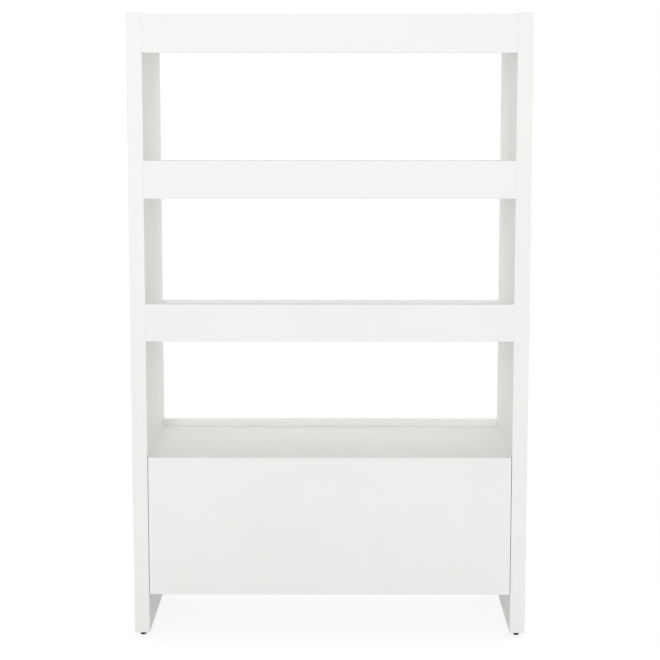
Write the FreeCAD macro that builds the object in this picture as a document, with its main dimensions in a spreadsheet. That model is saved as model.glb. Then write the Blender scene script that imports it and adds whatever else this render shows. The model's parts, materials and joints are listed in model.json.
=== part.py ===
"""Open bookcase with a full-width drawer in its base, as a parametric document.

Millimetres. X runs across, +Y to the back, +Z up. The origin is on the floor, under the middle of the case,
so the front faces -Y. The drawer is modelled shut.
"""

import FreeCAD, Part
import os
import re

import Sketcher

SHELVES = ("top", "middle", "lower")
SIDES = ("left", "right")
BALLS_IN_ROW = 6

# Driving dimensions: name, value and meaning.
SIZES = (
    ("case_width", 914, "outside width over the side panels"),
    ("case_depth", 400, "depth of the side panels"),
    ("panel_height", 1435, "height of the side panels"),
    ("panel_thick", 35, "thickness of the side panels"),
    ("front_ease", 1.2, "eased edges of the side panels, the rails and the drawer front"),
    ("board_ease", 0.8, "eased edges of shelves, cabinet boards and drawer box"),
    ("foot_drop", 12, "floor to the underside of the side panels"),
    ("rail_height", 86.5, "height of a shelf's front rail"),
    ("rail_thick", 22, "thickness of a front rail"),
    ("front_setback", 1, "rails and drawer front behind the panels' front edges"),
    ("top_reveal", 2.5, "side panels' top above the top rail"),
    ("shelf_pitch", 328, "one shelf to the next"),
    ("shelf_thick", 25, "thickness of a shelf"),
    ("shelf_drop", 40, "top of a rail to the shelf behind it"),
    ("tenon_length", 12, "length of a board's tenon in a side panel"),
    ("tenon_shoulder", 5, "a board's broad faces to its tenon"),
    ("tenon_inset", 20, "a board's edges to its tenon"),
    ("tenon_play", 0.2, "clearance round a tenon or a tongue"),
    ("tongue_thick", 8, "thickness of the tongue along a shelf's front edge"),
    ("tongue_length", 8, "depth of the tongue in the rail"),
    ("leg_gap", 92, "underside of the side panels to the drawer front"),
    ("cabinet_top_thick", 22, "thickness of the cabinet's top"),
    ("cabinet_floor_thick", 18, "thickness of the cabinet's floor"),
    ("cabinet_back_thick", 18, "thickness of the cabinet's back"),
    ("back_lip", 15, "cabinet's back above its top"),
    ("front_height", 326.5, "height of the drawer front"),
    ("front_thick", 20, "thickness of the drawer front"),
    ("front_gap", 1, "gap at each end of the drawer front"),
    ("close_gap", 2, "gap behind the shut drawer front, filled by the bumpers"),
    ("finger_lip", 22, "drawer front below the cabinet's floor"),
    ("finger_bevel", 9, "bevel behind the drawer front's lower edge"),
    ("bumper_dia", 8, "diameter of a bumper"),
    ("bumper_inset", 85, "bumper from the end of the drawer front"),
    ("box_wall", 13, "thickness of the drawer box's walls"),
    ("box_headroom", 30.5, "top of the drawer box to the cabinet's top"),
    ("box_back_gap", 11, "drawer box to the cabinet's back"),
    ("box_lift", 9, "drawer box above the cabinet's floor"),
    ("rebate_depth", 6, "rebates in the box's sides for its front and back walls"),
    ("bottom_thick", 6, "thickness of the drawer's bottom"),
    ("bottom_rise", 10, "drawer's bottom above the lower edge of the box"),
    ("groove_depth", 6, "depth of the groove for the drawer's bottom"),
    ("groove_play", 0.2, "clearance of the drawer's bottom in its groove"),
    ("front_screw_edge", 60, "drawer front screw from the edges of the box"),
    ("front_cover", 5, "wood left in front of a drawer front screw's point"),
    ("slide_thick", 12.7, "thickness of a slide, panel to drawer box"),
    ("slide_height", 45, "height of a slide"),
    ("slide_short", 10, "slide shorter than the drawer box"),
    ("slide_rise", 80, "slide's middle above the lower edge of the box"),
    ("slide_inset", 2, "slide's end behind the cabinet's front"),
    ("slide_steel", 1.2, "thickness of a slide's steel"),
    ("flange_gap", 2.5, "flanges of the outer members to the drawer box"),
    ("ball_dia", 4, "diameter of the bearing balls the races are made for"),
    ("ball_play", 0.15, "running clearance of a ball in its race"),
    ("race_depth", 0.35, "depth of a ball race"),
    ("cage_steel", 0.6, "thickness of a ball cage"),
    ("cage_play", 0.3, "clearance on each side of a ball cage's web"),
    ("cage_short", 20, "ball cage shorter than half a slide"),
    ("screw_dia", 4, "diameter of a screw's shank"),
    ("screw_head_dia", 7, "diameter of a screw's head"),
    ("screw_head_high", 1.8, "height of a pan head"),
    ("screw_cover", 2, "wall of the drawer box left behind a slide screw's point"),
    ("screw_edge", 35, "slide screws from the ends of a slide"),
    ("screw_play", 0.1, "clearance round a screw"),
    ("hole_spare", 1, "room past the end of a tenon or a screw"),
    ("foot_flats", 13, "levelling foot across its flats"),
    ("foot_gap", 3, "top of a levelling foot to the side panel"),
    ("foot_ease", 1, "eased lower edge of a levelling foot"),
    ("foot_setback", 27, "levelling foot's axis from the panel's front and back edges"),
    ("stud_dia", 8, "diameter of a leveller's stud"),
    ("stud_length", 28, "length of a leveller's stud above its foot"),
    ("stud_play", 0.1, "running clearance of a stud in its insert"),
    ("insert_wall", 2, "wall of a leveller's insert"),
    ("insert_length", 18, "length of a leveller's insert"),
    ("insert_play", 0.1, "clearance round an insert in the panel"),
)

# Places and sizes that follow from the driving dimensions, in the case's frame.
DERIVED = (
    ("inner_width", "case_width - 2 * panel_thick", "clear width between the side panels"),
    ("front_face", "-case_depth / 2 + front_setback", "face of the rails and the drawer front"),
    ("rear_edge", "case_depth / 2", "back of the case"),
    ("board_front", "front_face + rail_thick", "front edge of the shelves"),
    ("top_rail_top", "foot_drop + panel_height - top_reveal", "top of the top rail"),
    ("middle_rail_top", "top_rail_top - shelf_pitch", "top of the middle rail"),
    ("lower_rail_top", "middle_rail_top - shelf_pitch", "top of the lower rail"),
    ("front_low", "foot_drop + leg_gap", "lower edge of the drawer front"),
    ("cabinet_high", "front_low + front_height", "cabinet's top surface"),
    ("cabinet_front", "front_face + front_thick + close_gap", "front edge of the cabinet's boards"),
    ("back_face", "rear_edge - cabinet_back_thick", "front of the cabinet's back"),
    ("floor_under", "front_low + finger_lip", "underside of the cabinet's floor"),
    ("floor_high", "floor_under + cabinet_floor_thick", "top of the cabinet's floor"),
    ("box_front", "front_face + front_thick", "front of the drawer box"),
    ("box_low", "floor_high + box_lift", "lower edge of the drawer box"),
    ("box_height", "cabinet_high - cabinet_top_thick - box_headroom - box_low", "height of the drawer box"),
    ("box_length", "back_face - box_back_gap - box_front", "length of the drawer box, front to back"),
    ("box_width", "inner_width - 2 * slide_thick", "outside width of the drawer box"),
    ("box_inner", "box_width - 2 * box_wall", "inside width of the drawer box"),
    ("screw_length", "box_wall - screw_cover", "length of a slide screw in the wood"),
    ("front_screw_length", "box_wall + front_thick - front_cover", "drawer front screw under its head"),
    ("slide_length", "box_length - slide_short", "length of a slide, shut"),
    ("slide_mid", "cabinet_front + slide_inset + slide_length / 2", "middle of a shut slide, along Y"),
    ("slide_level", "box_low + slide_rise", "middle of a slide, up from the floor"),
    ("race_radius", "ball_dia / 2 + ball_play", "radius of a ball race"),
    ("race_sink", "race_radius - race_depth", "ball's centre from the face its race is cut in"),
    ("outer_ball", "slide_height / 2 - slide_steel - race_sink", "outer ball row from the slide's middle"),
    ("middle_half", "outer_ball - race_sink", "half the height of the middle member"),
    ("inner_ball", "middle_half - slide_steel - race_sink", "inner ball row from the slide's middle"),
    ("drawer_half", "inner_ball - race_sink", "half the height of the drawer member"),
    ("web_gap", "cage_steel + 2 * cage_play", "room for a cage's web between two members"),
    ("middle_web", "slide_steel + web_gap", "back of the middle member's web, from the panel"),
    ("drawer_web", "slide_thick - slide_steel", "face of the drawer member's web, from the panel"),
    ("drawer_flange", "middle_web + slide_steel + web_gap", "drawer member's flange edges, from the panel"),
    ("slide_reach", "slide_thick - flange_gap", "outer members' flange edges, from the panel"),
    ("ball_centre", "(drawer_flange + slide_reach) / 2", "balls' centres, from the panel"),
    ("cage_reach", "slide_reach - cage_play", "cages' flange edges, from the panel"),
    ("cage_length", "slide_length / 2 - cage_short", "length of a ball cage"),
    ("ball_spacing", f"cage_length / {BALLS_IN_ROW}", "one ball to the next in its cage"),
    ("foot_high", "foot_drop - foot_gap", "height of a levelling foot"),
    ("foot_corner", "foot_flats / sqrt(3)", "levelling foot's axis to its corners"),
    ("insert_bore", "stud_dia / 2 + stud_play", "bore radius of an insert"),
    ("insert_radius", "insert_bore + insert_wall", "outer radius of an insert"),
    ("foot_hole", "foot_high + stud_length - foot_drop + hole_spare", "depth of a leveller's hole"),
)

SHEET = "sizes"
NAMES = {row[0] for row in SIZES + DERIVED}
UPRIGHT = (0, 0, 1)

# Each face of a board: the origin plane it lies on, the size that lifts the plane to it, the sign of that
# lift, and whether a cut into the board follows the plane's normal.
FACES = {
    "left": ("YZ_Plane", 0, 0, True),
    "right": ("YZ_Plane", 0, 1, False),
    "front": ("XZ_Plane", 1, 0, False),
    "back": ("XZ_Plane", 1, -1, True),
    "under": ("XY_Plane", 2, 0, True),
}

doc = FreeCAD.newDocument("bookcase")
sheet = doc.addObject("Spreadsheet::Sheet", SHEET)
nodes = []


def fill_sheet():
    """Writes the driving dimensions as numbers, and below them what follows from them as formulas."""
    row = 0
    for name, value, meaning in SIZES:
        row += 1
        sheet.set(f"A{row}", meaning)
        sheet.set(f"B{row}", str(value))
        sheet.setAlias(f"B{row}", name)
    for name, formula, meaning in DERIVED:
        row += 1
        sheet.set(f"A{row}", meaning)
        sheet.set(f"B{row}", f"={formula}")
        sheet.setAlias(f"B{row}", name)
    doc.recompute()


def spelled(text):
    """An expression with the sheet's name put before each of its values."""
    def full(match):
        word = match.group(0)
        return f"{SHEET}.{word}" if word in NAMES else word
    return re.sub(r"[a-z]\w*", full, text)


def value_of(text):
    return float(sheet.evalExpression(spelled(text)))


def bind(item, setting, text):
    item.setExpression(setting, spelled(text))


def place(item, x, y, z, turn=0, axis=UPRIGHT):
    """Turns an object about an axis through its own origin and ties its position to the sheet."""
    rotation = FreeCAD.Rotation(FreeCAD.Vector(*axis), turn)
    item.Placement = FreeCAD.Placement(FreeCAD.Vector(value_of(x), value_of(y), value_of(z)), rotation)
    for name, text in zip("xyz", (x, y, z)):
        bind(item, f"Placement.Base.{name}", text)


def new_body(name, x="0", y="0", z="0", turn=0, node=True):
    """A body at its place. One that is a node by itself is written out under its label."""
    body = doc.addObject("PartDesign::Body", name)
    body.Label = name
    place(body, x, y, z, turn)
    if node:
        nodes.append(body)
    return body


def new_sketch(body, plane, lift="0"):
    """A sketch on one of the body's origin planes, lifted along the plane's normal."""
    support = [item for item in body.Origin.OriginFeatures if item.Role == plane][0]
    sketch = body.newObject("Sketcher::SketchObject", f"{body.Name}_sketch")
    sketch.AttachmentSupport = [(support, "")]
    sketch.MapMode = "FlatFace"
    bind(sketch, "AttachmentOffset.Base.z", lift)
    return sketch


def tie_point(sketch, item, point, across, up):
    """Ties a point of a sketch to the origin by two distances from the sheet."""
    for kind, text in (("DistanceX", across), ("DistanceY", up)):
        index = sketch.addConstraint(Sketcher.Constraint(kind, -1, 1, item, point, value_of(text)))
        bind(sketch, f"Constraints[{index}]", text)


def draw_outline(sketch, corners):
    """A closed outline of straight lines through corners given as pairs of expressions."""
    points = [FreeCAD.Vector(value_of(across), value_of(up), 0) for across, up in corners]
    first = len(sketch.Geometry)
    count = len(points)
    for index in range(count):
        sketch.addGeometry(Part.LineSegment(points[index], points[(index + 1) % count]), False)
    for index in range(count):
        following = first + (index + 1) % count
        sketch.addConstraint(Sketcher.Constraint("Coincident", first + index, 2, following, 1))
    for index, (across, up) in enumerate(corners):
        tie_point(sketch, first + index, 1, across, up)


def draw_circles(sketch, centres, radius):
    """Circles of one radius about centres given as pairs of expressions."""
    for across, up in centres:
        middle = FreeCAD.Vector(value_of(across), value_of(up), 0)
        item = sketch.addGeometry(Part.Circle(middle, FreeCAD.Vector(0, 0, 1), value_of(radius)), False)
        tie_point(sketch, item, 3, across, up)
        index = sketch.addConstraint(Sketcher.Constraint("Radius", item, value_of(radius)))
        bind(sketch, f"Constraints[{index}]", radius)


def rectangle(low_across, low_up, high_across, high_up):
    return (
        (low_across, low_up),
        (high_across, low_up),
        (high_across, high_up),
        (low_across, high_up),
    )


def channel(low, high, wall, half):
    """Section of a channel: its web lies at low, and its two flanges run to high, at plus and minus half."""
    return (
        (low, f"-({half})"),
        (high, f"-({half})"),
        (high, f"-({half}) + {wall}"),
        (f"{low} + {wall}", f"-({half}) + {wall}"),
        (f"{low} + {wall}", f"{half} - {wall}"),
        (high, f"{half} - {wall}"),
        (high, half),
        (low, half),
    )


def pad(body, sketch, length):
    feature = body.newObject("PartDesign::Pad", f"{body.Name}_pad")
    feature.Profile = sketch
    bind(feature, "Length", length)
    doc.recompute()
    return feature


def pocket(body, sketch, depth, along_normal):
    feature = body.newObject("PartDesign::Pocket", f"{body.Name}_pocket")
    feature.Profile = sketch
    feature.Reversed = along_normal
    bind(feature, "Length", depth)
    doc.recompute()
    return feature


def turned_piece(name, corners):
    """A turned piece about Z, from half its section, used as the master of a group."""
    body = new_body(name, node=False)
    sketch = new_sketch(body, "XZ_Plane")
    draw_outline(sketch, corners)
    feature = body.newObject("PartDesign::Revolution", f"{body.Name}_revolution")
    feature.Profile = sketch
    feature.ReferenceAxis = (sketch, ["V_Axis"])
    feature.Angle = 360
    doc.recompute()
    return body


def chamfer(body, size, wanted):
    """Chamfers those edges of a body that pass the test."""
    base = body.Tip
    names = []
    for index, edge in enumerate(base.Shape.Edges, start=1):
        if wanted(edge):
            names.append(f"Edge{index}")
    feature = body.newObject("PartDesign::Chamfer", f"{body.Name}_chamfer")
    feature.Base = (base, names)
    bind(feature, "Size", size)
    doc.recompute()


def every_edge(edge):
    return True


def edge_test(axis=None, **limits):
    """A test for edges along an axis, or at one side: y_low=True means at the body's y of zero."""
    sides = {name[0]: at_low for name, at_low in limits.items()}

    def passes(edge):
        box = edge.BoundBox
        spans = {"x": box.XLength, "y": box.YLength, "z": box.ZLength}
        lows = {"x": box.XMin, "y": box.YMin, "z": box.ZMin}
        close = 1e-6
        if axis and spans[axis] < max(spans.values()):
            return False
        for name, at_low in sides.items():
            flat = spans[name] < close
            if not flat or (abs(lows[name]) < close) != at_low:
                return False
        return True
    return passes


def board(name, low, size, ease=None, wanted=every_edge):
    """A flat board from its lowest corner and its three sizes, with eased edges."""
    body = new_body(name, *low)
    sketch = new_sketch(body, "XY_Plane")
    draw_outline(sketch, rectangle("0", "0", size[0], size[1]))
    pad(body, sketch, size[2])
    if ease:
        chamfer(body, ease, wanted)
    return body


def face_sketch(body, size, face):
    """A sketch on one face of a board, and whether a cut into the board follows its normal."""
    plane, along, sign, along_normal = FACES[face]
    lift = "0" if sign == 0 else f"{sign} * ({size[along]})"
    return new_sketch(body, plane, lift), along_normal


def drill(body, size, face, centres, radius, depth):
    """Round holes, square to one face of a board."""
    sketch, along_normal = face_sketch(body, size, face)
    draw_circles(sketch, centres, radius)
    pocket(body, sketch, depth, along_normal)


def recess(body, size, face, outlines, depth):
    """Straight-edged recesses in one face of a board."""
    sketch, along_normal = face_sketch(body, size, face)
    for corners in outlines:
        draw_outline(sketch, corners)
    pocket(body, sketch, depth, along_normal)


def group(name, members):
    """One node that holds several separate solids."""
    compound = doc.addObject("Part::Compound", name)
    compound.Label = name
    compound.Links = members
    nodes.append(compound)
    doc.recompute()


def copies(master, spots):
    """Copies of a master piece: each spot is its position, its turn and the axis it turns about."""
    made = []
    for spot, turn, axis in spots:
        link = doc.addObject("App::Link", f"{master.Name}_copy")
        link.LinkedObject = master
        place(link, *spot, turn, axis)
        made.append(link)
    return made


def pair(low, high, inset):
    """Two places, one inset from each end of a length."""
    return (f"{low} + {inset}", f"{high} - ({inset})")


# Case

def hung_boards():
    """Each board between the side panels: front, back, underside, top, and whether it stands upright."""
    boards = {}
    for level in SHELVES:
        top = f"{level}_rail_top"
        surface = f"{top} - shelf_drop"
        boards[f"{level}_rail"] = ("front_face", "board_front", f"{top} - rail_height", top, True)
        boards[f"{level}_shelf"] = ("board_front", "rear_edge", f"{surface} - shelf_thick", surface, False)
    under = "cabinet_high - cabinet_top_thick"
    boards["cabinet_top"] = ("cabinet_front", "back_face", under, "cabinet_high", False)
    boards["cabinet_floor"] = ("cabinet_front", "back_face", "floor_under", "floor_high", False)
    boards["cabinet_back"] = ("back_face", "rear_edge", "floor_under", "cabinet_high + back_lip", True)
    return boards


def tenon_section(board_place, origin, play="0"):
    """Section of a board's tenon, grown by the play, as corners in (y, z) from an origin."""
    front, back, under, top, upright = board_place
    y, z = origin
    deep, high = ("tenon_shoulder", "tenon_inset") if upright else ("tenon_inset", "tenon_shoulder")
    return rectangle(
        f"{front} + {deep} - {play} - ({y})",
        f"{under} + {high} - {play} - ({z})",
        f"{back} - {deep} + {play} - ({y})",
        f"{top} - {high} + {play} - ({z})",
    )


def slide_screw_spots():
    """Screws along a slide, from its middle."""
    return pair("-slide_length / 2", "slide_length / 2", "screw_edge")


def side_panel(side):
    """A side panel, mortised on its inner face for the boards and drilled for the slide and the levellers."""
    left = side == "left"
    size = ("panel_thick", "case_depth", "panel_height")
    low = "-case_width / 2" if left else "case_width / 2 - panel_thick"
    origin = ("-case_depth / 2", "foot_drop")
    inner = "right" if left else "left"
    body = board(f"side_panel_{side}", (low, *origin), size, "front_ease")
    mortises = [tenon_section(item, origin, "tenon_play") for item in hung_boards().values()]
    recess(body, size, inner, mortises, "tenon_length + hole_spare")
    level = "slide_level - foot_drop"
    screws = [(f"slide_mid + {along} + case_depth / 2", level) for along in slide_screw_spots()]
    drill(body, size, inner, screws, "screw_dia / 2 + screw_play", "screw_length + hole_spare")
    feet = [("panel_thick / 2", y) for y in pair("0", "case_depth", "foot_setback")]
    drill(body, size, "under", feet, "insert_radius + insert_play", "foot_hole")


def hung_board(name, ease, wanted):
    """A board between the side panels, with a tenon at each end."""
    front, back, under, top, upright = hung_boards()[name]
    size = ("inner_width", f"{back} - ({front})", f"{top} - ({under})")
    body = board(name, ("-inner_width / 2", front, under), size, ease, wanted)
    tenons = new_sketch(body, "YZ_Plane", "-tenon_length")
    draw_outline(tenons, tenon_section(hung_boards()[name], (front, under)))
    pad(body, tenons, "inner_width + 2 * tenon_length")
    return body, size


def shelf_rail(level):
    """The tall front rail of a shelf, grooved behind for the tongue on the shelf's edge."""
    body, size = hung_board(f"{level}_rail", "front_ease", edge_test("x"))
    middle = "rail_height - shelf_drop - shelf_thick / 2"
    half = "tongue_thick / 2 + tenon_play"
    slot = rectangle("0", f"{middle} - ({half})", "inner_width", f"{middle} + {half}")
    recess(body, size, "back", [slot], "tongue_length + tenon_play")


def shelf(level):
    """A shelf, with a tongue along its front edge."""
    body, size = hung_board(f"{level}_shelf", "board_ease", edge_test("x", y_low=False))
    tongue = new_sketch(body, "YZ_Plane")
    low, high = pair("0", "shelf_thick", "(shelf_thick - tongue_thick) / 2")
    draw_outline(tongue, rectangle("-tongue_length", low, "tongue_length", high))
    pad(body, tongue, "inner_width")


def case():
    for side in SIDES:
        side_panel(side)
    for level in SHELVES:
        shelf_rail(level)
        shelf(level)
    hung_board("cabinet_top", "board_ease", edge_test("x", y_low=True, z_low=False))
    hung_board("cabinet_floor", "board_ease", edge_test("x", y_low=True))
    hung_board("cabinet_back", "board_ease", edge_test("x", z_low=False))


# Levellers

def levellers():
    """Six-sided feet moulded on studs, and the threaded inserts that the studs turn in."""
    hexagon = (
        ("0", "-foot_corner"),
        ("foot_flats / 2", "-foot_corner / 2"),
        ("foot_flats / 2", "foot_corner / 2"),
        ("0", "foot_corner"),
        ("-foot_flats / 2", "foot_corner / 2"),
        ("-foot_flats / 2", "-foot_corner / 2"),
    )
    tube = rectangle("insert_bore", "0", "insert_radius", "insert_length")
    across = pair("-case_width / 2", "case_width / 2", "panel_thick / 2")
    along = pair("-case_depth / 2", "case_depth / 2", "foot_setback")
    spots = []
    for end, y in zip(("front", "back"), along):
        for side, x in zip(SIDES, across):
            body = new_body(f"leveller_{end}_{side}", x, y, "0")
            foot = new_sketch(body, "XY_Plane")
            draw_outline(foot, hexagon)
            pad(body, foot, "foot_high")
            chamfer(body, "foot_ease", edge_test(z_low=True))
            stud = new_sketch(body, "XY_Plane", "foot_high")
            draw_circles(stud, [("0", "0")], "stud_dia / 2")
            pad(body, stud, "stud_length")
            spots.append(((x, y, "foot_drop"), 0, UPRIGHT))
    group("leveller_inserts", copies(turned_piece("leveller_insert", tube), spots))


# Slides

def panel_face(side):
    """The side panel's inner face, which a slide is fixed on."""
    return "-inner_width / 2" if side == "left" else "inner_width / 2"


def slide_body(name, side, node=True):
    """A body about the middle of a slide, with +X from the side panel to the drawer."""
    turn = 0 if side == "left" else 180
    return new_body(name, panel_face(side), "slide_mid", "slide_level", turn, node)


def slide_member(name, side, corners, ball_rows):
    """One member of a slide: a channel section along Y with a race cut in it for each row of balls."""
    body = slide_body(f"slide_{name}_member_{side}", side)
    sketch = new_sketch(body, "XZ_Plane", "-slide_length / 2")
    draw_outline(sketch, corners)
    pad(body, sketch, "slide_length")
    races = new_sketch(body, "XZ_Plane", "-slide_length / 2")
    for row in ball_rows:
        draw_circles(races, [("ball_centre", row), ("ball_centre", f"-{row}")], "race_radius")
    pocket(body, races, "slide_length", True)
    return body


def sink_screws(body, face, along_normal):
    """Countersunk holes through the web of a slide member, from the face the heads lie flush with."""
    sketch = new_sketch(body, "YZ_Plane", face)
    draw_circles(sketch, [(along, "0") for along in slide_screw_spots()], "screw_head_dia / 2 + screw_play")
    sunk = pocket(body, sketch, "slide_steel", along_normal)
    bind(sunk, "TaperAngle", "-atan((screw_head_dia - screw_dia) / 2 / slide_steel)")


def slide(side):
    """A telescopic slide. Distances across it are from the side panel, and it is level about its middle."""
    outer = channel("0", "slide_reach", "slide_steel", "slide_height / 2")
    cabinet = slide_member("cabinet", side, outer, ["outer_ball"])
    sink_screws(cabinet, "slide_steel", False)
    middle = channel("middle_web", "slide_reach", "slide_steel", "middle_half")
    slide_member("middle", side, middle, ["outer_ball", "inner_ball"])
    inner = (
        ("slide_thick", "-drawer_half"),
        ("slide_thick", "drawer_half"),
        ("drawer_flange", "drawer_half"),
        ("drawer_flange", "drawer_half - slide_steel"),
        ("drawer_web", "drawer_half - slide_steel"),
        ("drawer_web", "-drawer_half + slide_steel"),
        ("drawer_flange", "-drawer_half + slide_steel"),
        ("drawer_flange", "-drawer_half"),
    )
    drawer = slide_member("drawer", side, inner, ["inner_ball"])
    sink_screws(drawer, "drawer_web", True)


def ball_cage(name, side, web, row):
    """A ball cage: a thin channel whose flanges lie on the ball rows, with a window for each ball."""
    body = slide_body(name, side, node=False)
    sketch = new_sketch(body, "XZ_Plane", "-cage_length / 2")
    draw_outline(sketch, channel(web, "cage_reach", "cage_steel", f"{row} + cage_steel / 2"))
    pad(body, sketch, "cage_length")
    windows = new_sketch(body, "XY_Plane", f"{row} + cage_steel")
    low, high = pair("ball_centre", "ball_centre", "-race_radius")
    for index in range(BALLS_IN_ROW):
        along = f"{index - (BALLS_IN_ROW - 1) / 2} * ball_spacing"
        draw_outline(windows, rectangle(low, f"{along} - race_radius", high, f"{along} + race_radius"))
    pocket(body, windows, f"2 * ({row} + cage_steel)", False)
    return body


def ball_cages():
    """Both slides' outer cages are one node and their inner cages another: each pair moves together."""
    webs = {"outer": "slide_steel + cage_play", "inner": "middle_web + slide_steel + cage_play"}
    for layer, web in webs.items():
        group(
            f"slide_{layer}_ball_cages",
            [ball_cage(f"{layer}_cage_{side}", side, web, f"{layer}_ball") for side in SIDES],
        )


def slide_screws():
    """Flat-headed screws, flush in the webs of the cabinet and drawer members."""
    section = (
        ("0", "slide_steel"),
        ("screw_head_dia / 2", "slide_steel"),
        ("screw_dia / 2", "0"),
        ("screw_dia / 2", "-screw_length"),
        ("0", "-screw_length"),
    )
    master = turned_piece("slide_screw", section)
    across = (0, 1, 0)
    cabinet = []
    drawer = []
    for side in SIDES:
        x = panel_face(side)
        inward = 1 if side == "left" else -1
        for along in slide_screw_spots():
            y = f"slide_mid + {along}"
            cabinet.append(((x, y, "slide_level"), 90 * inward, across))
            drawer.append(((f"{x} + {inward} * slide_thick", y, "slide_level"), -90 * inward, across))
    group("slide_cabinet_screws", copies(master, cabinet))
    group("slide_drawer_screws", copies(master, drawer))


# Drawer

def front_screw_spots():
    """Drawer front screws, as (x, z) in the case's frame."""
    heights = pair("box_low", "box_low + box_height", "front_screw_edge")
    return [(x, z) for x in pair("-box_inner / 2", "box_inner / 2", "front_screw_edge") for z in heights]


def drawer_front():
    """The flush front, bevelled behind its lower edge for the fingers that pull it."""
    size = ("inner_width - 2 * front_gap", "front_thick", "front_height")
    low = ("-inner_width / 2 + front_gap", "front_face", "front_low")
    body = board("drawer_front", low, size, "finger_bevel", edge_test("x", y_low=False, z_low=True))
    chamfer(body, "front_ease", edge_test(y_low=True))
    spots = [(f"{x} + ({size[0]}) / 2", f"{z} - front_low") for x, z in front_screw_spots()]
    depth = "front_screw_length - box_wall + hole_spare"
    drill(body, size, "back", spots, "screw_dia / 2 + screw_play", depth)


def bottom_slot(length):
    """Outline of the groove that the drawer's bottom slides in."""
    return rectangle("0", "bottom_rise - groove_play", length, "bottom_rise + bottom_thick + groove_play")


def box_side(side):
    """A side of the drawer box, rebated for the end walls, grooved for the bottom, drilled for its slide."""
    left = side == "left"
    size = ("box_wall", "box_length", "box_height")
    low = "-box_width / 2" if left else "box_width / 2 - box_wall"
    inner, outer = ("right", "left") if left else ("left", "right")
    upper_edges = edge_test("y", z_low=False)
    body = board(f"drawer_box_{side}", (low, "box_front", "box_low"), size, "board_ease", upper_edges)
    ends = [
        rectangle("0", "0", "box_wall", "box_height"),
        rectangle("box_length - box_wall", "0", "box_length", "box_height"),
    ]
    recess(body, size, inner, ends, "rebate_depth")
    recess(body, size, inner, [bottom_slot("box_length")], "groove_depth")
    screws = [(f"slide_mid + {along} - box_front", "slide_rise") for along in slide_screw_spots()]
    drill(body, size, outer, screws, "screw_dia / 2 + screw_play", "screw_length + screw_play")


def box_end(name, near, rise, high):
    """The front or back wall of the drawer box, let into the rebates of its sides."""
    size = ("box_inner + 2 * rebate_depth", "box_wall", high)
    low = ("-box_inner / 2 - rebate_depth", near, f"box_low + {rise}")
    return board(name, low, size, "board_ease", edge_test("x", z_low=False)), size


def drawer_box():
    """Sides, front and back of the box, with a bottom that slides in from behind, under the back."""
    for side in SIDES:
        box_side(side)
    front, size = box_end("drawer_box_front", "box_front", "0", "box_height")
    recess(front, size, "back", [bottom_slot(size[0])], "groove_depth")
    holes = [(f"{x} + ({size[0]}) / 2", f"{z} - box_low") for x, z in front_screw_spots()]
    drill(front, size, "front", holes, "screw_dia / 2 + screw_play", "box_wall")
    above = "bottom_rise + bottom_thick"
    box_end("drawer_box_back", "box_front + box_length - box_wall", above, f"box_height - ({above})")
    sunk = "groove_depth - groove_play"
    wide = f"box_inner + 2 * ({sunk})"
    deep = f"box_length - box_wall + {sunk}"
    low = (f"-({wide}) / 2", f"box_front + box_wall - ({sunk})", "box_low + bottom_rise")
    board("drawer_bottom", low, (wide, deep, "bottom_thick"))


def drawer_fittings():
    """Screws that hold the drawer front on the box, and bumpers between the front and the cabinet."""
    section = (
        ("0", "screw_head_high"),
        ("screw_head_dia / 2", "screw_head_high"),
        ("screw_head_dia / 2", "0"),
        ("screw_dia / 2", "0"),
        ("screw_dia / 2", "-front_screw_length"),
        ("0", "-front_screw_length"),
    )
    to_back = (1, 0, 0)
    screws = [((x, "box_front + box_wall", z), -90, to_back) for x, z in front_screw_spots()]
    group("drawer_front_screws", copies(turned_piece("front_screw", section), screws))
    disc = rectangle("0", "0", "bumper_dia / 2", "close_gap")
    pads = []
    for x in pair("-inner_width / 2 + front_gap", "inner_width / 2 - front_gap", "bumper_inset"):
        for z in ("cabinet_high - cabinet_top_thick / 2", "floor_under + cabinet_floor_thick / 2"):
            pads.append(((x, "box_front", z), -90, to_back))
    group("drawer_bumpers", copies(turned_piece("bumper", disc), pads))


def build():
    fill_sheet()
    case()
    levellers()
    for side in SIDES:
        slide(side)
    ball_cages()
    slide_screws()
    drawer_front()
    drawer_box()
    drawer_fittings()
    doc.recompute()


def check():
    """Stops before anything is written if an object failed, a cut took nothing away or a shape is unsound."""
    for item in doc.Objects:
        if {"Invalid", "Error"} & set(item.State):
            raise RuntimeError(f"{item.Name} failed: {item.State}")
        if item.TypeId == "PartDesign::Pocket":
            if item.Shape.Volume >= item.BaseFeature.Shape.Volume:
                raise RuntimeError(f"{item.Name} cut nothing away")
    for item in nodes:
        if item.Shape.isNull() or not item.Shape.isValid():
            raise RuntimeError(f"{item.Label} has no sound shape")


def write():
    os.makedirs("parts", exist_ok=True)
    for item in nodes:
        item.Shape.exportStep(f"parts/{item.Label}.step")


build()
check()
write()
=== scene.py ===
"""Looks of the white bookcase with a drawer in its base.

Metres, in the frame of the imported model: X across, +Y to the back, +Z up, the front faces -Y.
"""

import json
import math

import bmesh
import bpy
from mathutils import Matrix, Vector

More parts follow.
